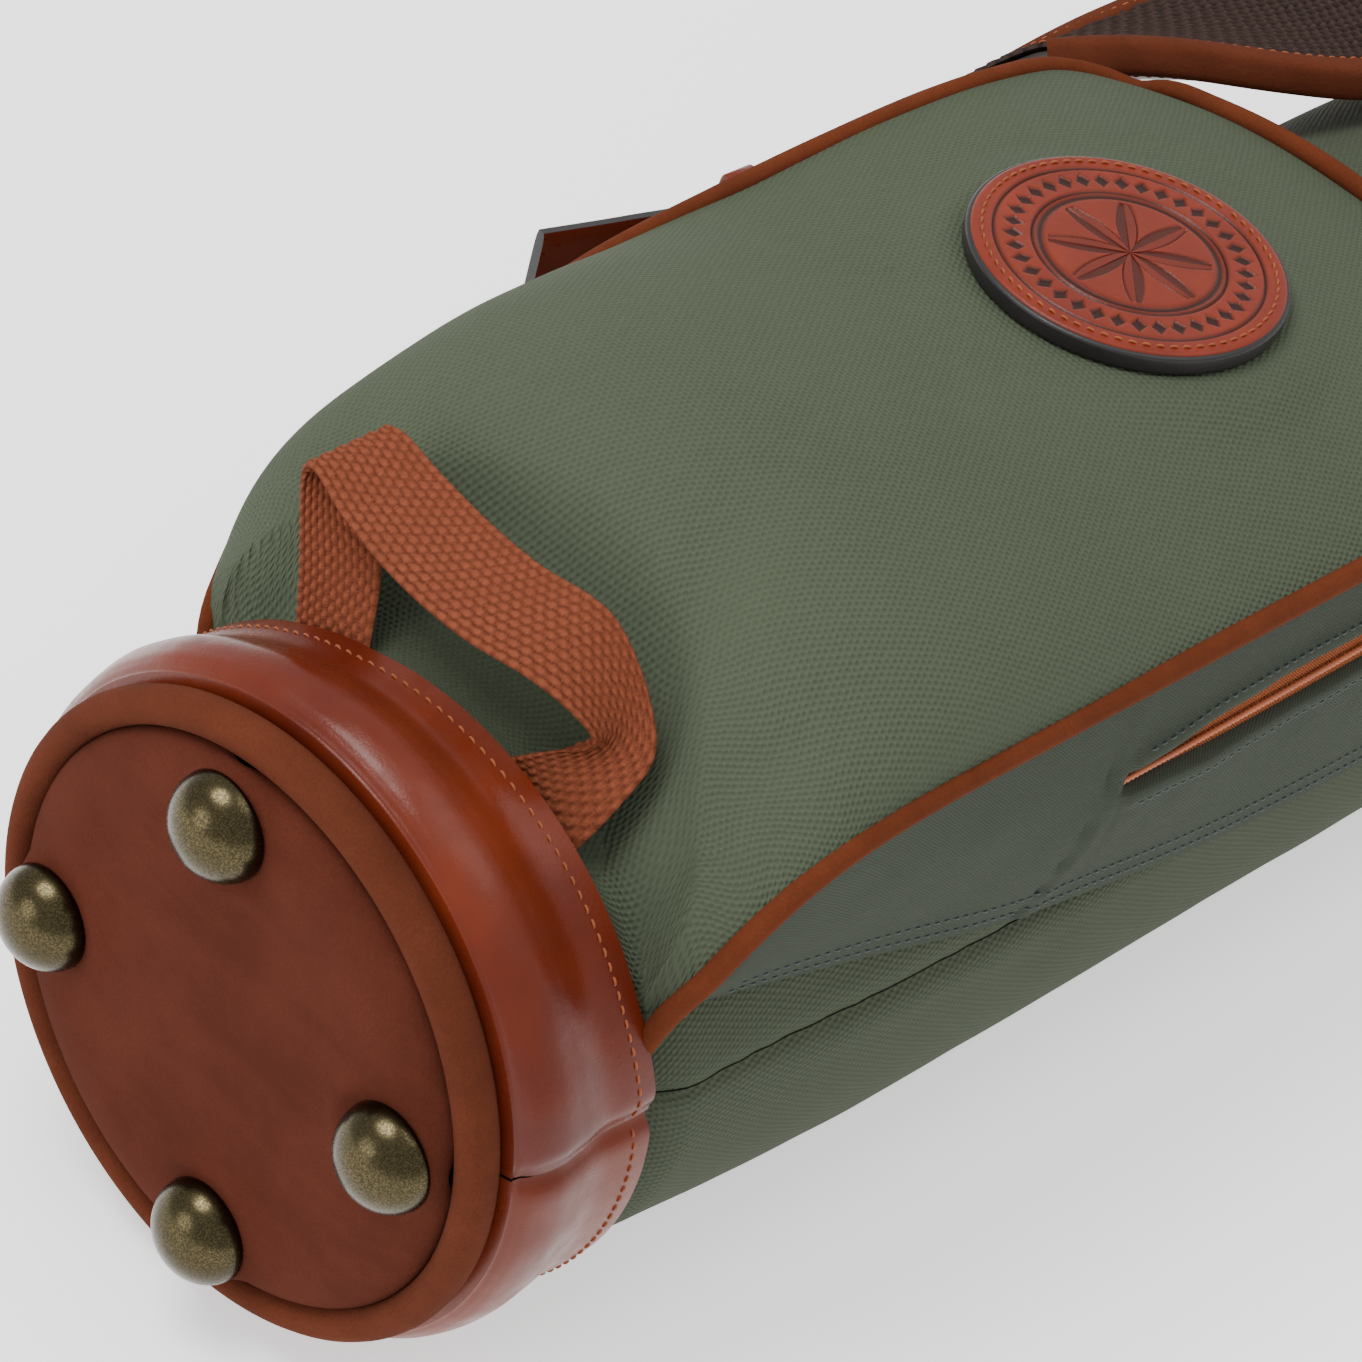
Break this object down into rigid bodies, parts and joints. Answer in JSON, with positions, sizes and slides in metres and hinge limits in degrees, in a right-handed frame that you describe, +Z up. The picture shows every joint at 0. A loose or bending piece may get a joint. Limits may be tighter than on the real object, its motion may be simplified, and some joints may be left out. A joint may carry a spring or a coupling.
{
  "type": "golf carry bag",
  "caption": "Slim round golf carry bag lying on its back, with a studded leather base, webbing base handle, bulging zipped canvas pocket, padded shoulder strap and divided mouth.",
  "frame": {"origin": "middle of the bag's length, on the surface it lies on", "axes": "+X along the bag from its studded base to its mouth, +Z up through the pocket, +Y towards the shoulder strap's side"},
  "size_m": [0.8864, 0.2227, 0.1967],
  "materials": {
    "canvas": "matt woven cotton",
    "gusset_cloth": "smooth dark green cloth",
    "boot_leather": "glossy tan leather",
    "strap_leather": "satin brown leather with black painted edges",
    "badge_leather": "semi-gloss embossed leather",
    "badge_edge": "thick black edge paint",
    "suede": "brown suede",
    "webbing": "coarse cotton webbing",
    "zip_tape": "orange woven tape",
    "zip_coil": "moulded nylon coil",
    "brass": "antique brass",
    "spacer_mesh": "dark brown spacer mesh",
    "pad_foam": "closed-cell foam",
    "lining": "plain lining cloth",
    "plastic": "moulded plastic"
  },
  "bodies": {
    "bag": {"base_board": "plastic", "base_cover": "suede", "base_welt": "suede", "foot_stud_1": "brass", "foot_stud_2": "brass", "foot_stud_3": "brass", "foot_stud_4": "brass", "foot_nut_1": "brass", "foot_nut_2": "brass", "foot_nut_3": "brass", "foot_nut_4": "brass", "boot_front_band": "boot_leather", "boot_rear_band": "boot_leather", "body_front_canvas": "canvas", "body_back_canvas": "canvas", "body_lining": "lining", "stay_front": "plastic", "stay_near": "plastic", "stay_far": "plastic", "pocket_panel": "canvas", "pocket_piping": "suede", "pocket_gusset": "gusset_cloth", "badge_backing": "badge_edge", "badge_leather": "badge_leather", "zip_tape_upper": "zip_tape", "zip_tape_lower": "zip_tape", "zip_coil": "zip_coil", "collar_ring": "plastic", "collar_band": "boot_leather", "collar_welt": "suede", "divider_bar_front": "lining", "divider_bar_back": "lining", "anchor_tab_lower": "strap_leather", "anchor_tab_upper": "strap_leather", "carry_tab_1": "strap_leather", "carry_tab_2": "strap_leather", "base_handle_webbing": "webbing"},
    "shoulder_strap": {"strap_pad": "pad_foam", "strap_mesh": "spacer_mesh", "strap_outer": "strap_leather", "strap_binding_near": "suede", "strap_binding_far": "suede", "strap_upper_tab": "strap_leather", "strap_billet": "strap_leather", "buckle_chape": "strap_leather", "buckle_frame": "brass", "d_ring_lower": "brass", "d_ring_upper": "brass"},
    "keeper": {"strap_keeper": "strap_leather"},
    "prong": {"buckle_prong": "brass"},
    "slider": {"zip_slider": "brass"},
    "puller": {"zip_puller": "strap_leather"},
    "carry_handle": {"carry_handle_grip": "strap_leather", "carry_ring_1": "brass", "carry_ring_2": "brass"}
  },
  "joints": [
    {"name": "strap_swing", "type": "hinge", "parent": "bag", "child": "shoulder_strap", "pos_m": [0, 0.09247, 0.08226], "axis": [1, 0, 0], "range_deg": [-75, 0]},
    {"name": "keeper_slide", "type": "slide", "parent": "shoulder_strap", "child": "keeper", "axis": [1, 0, 0], "range_m": [-0.004, 0.006]},
    {"name": "prong_pivot", "type": "hinge", "parent": "shoulder_strap", "child": "prong", "pos_m": [-0.154, 0.1095, 0.122], "axis": [0, 0, 1], "range_deg": [0, 50]},
    {"name": "zip_travel", "type": "slide", "parent": "bag", "child": "slider", "axis": [-1, 0, 0], "range_m": [0, 0.138]},
    {"name": "puller_swing", "type": "hinge", "parent": "slider", "child": "puller", "pos_m": [-0.116, -0.0957, 0.1352], "axis": [1, 0, 0], "range_deg": [-90, 0]},
    {"name": "carry_swing", "type": "hinge", "parent": "bag", "child": "carry_handle", "pos_m": [0, -0.0513, 0.1532], "axis": [1, 0, 0], "range_deg": [-110, 0]}
  ]
}
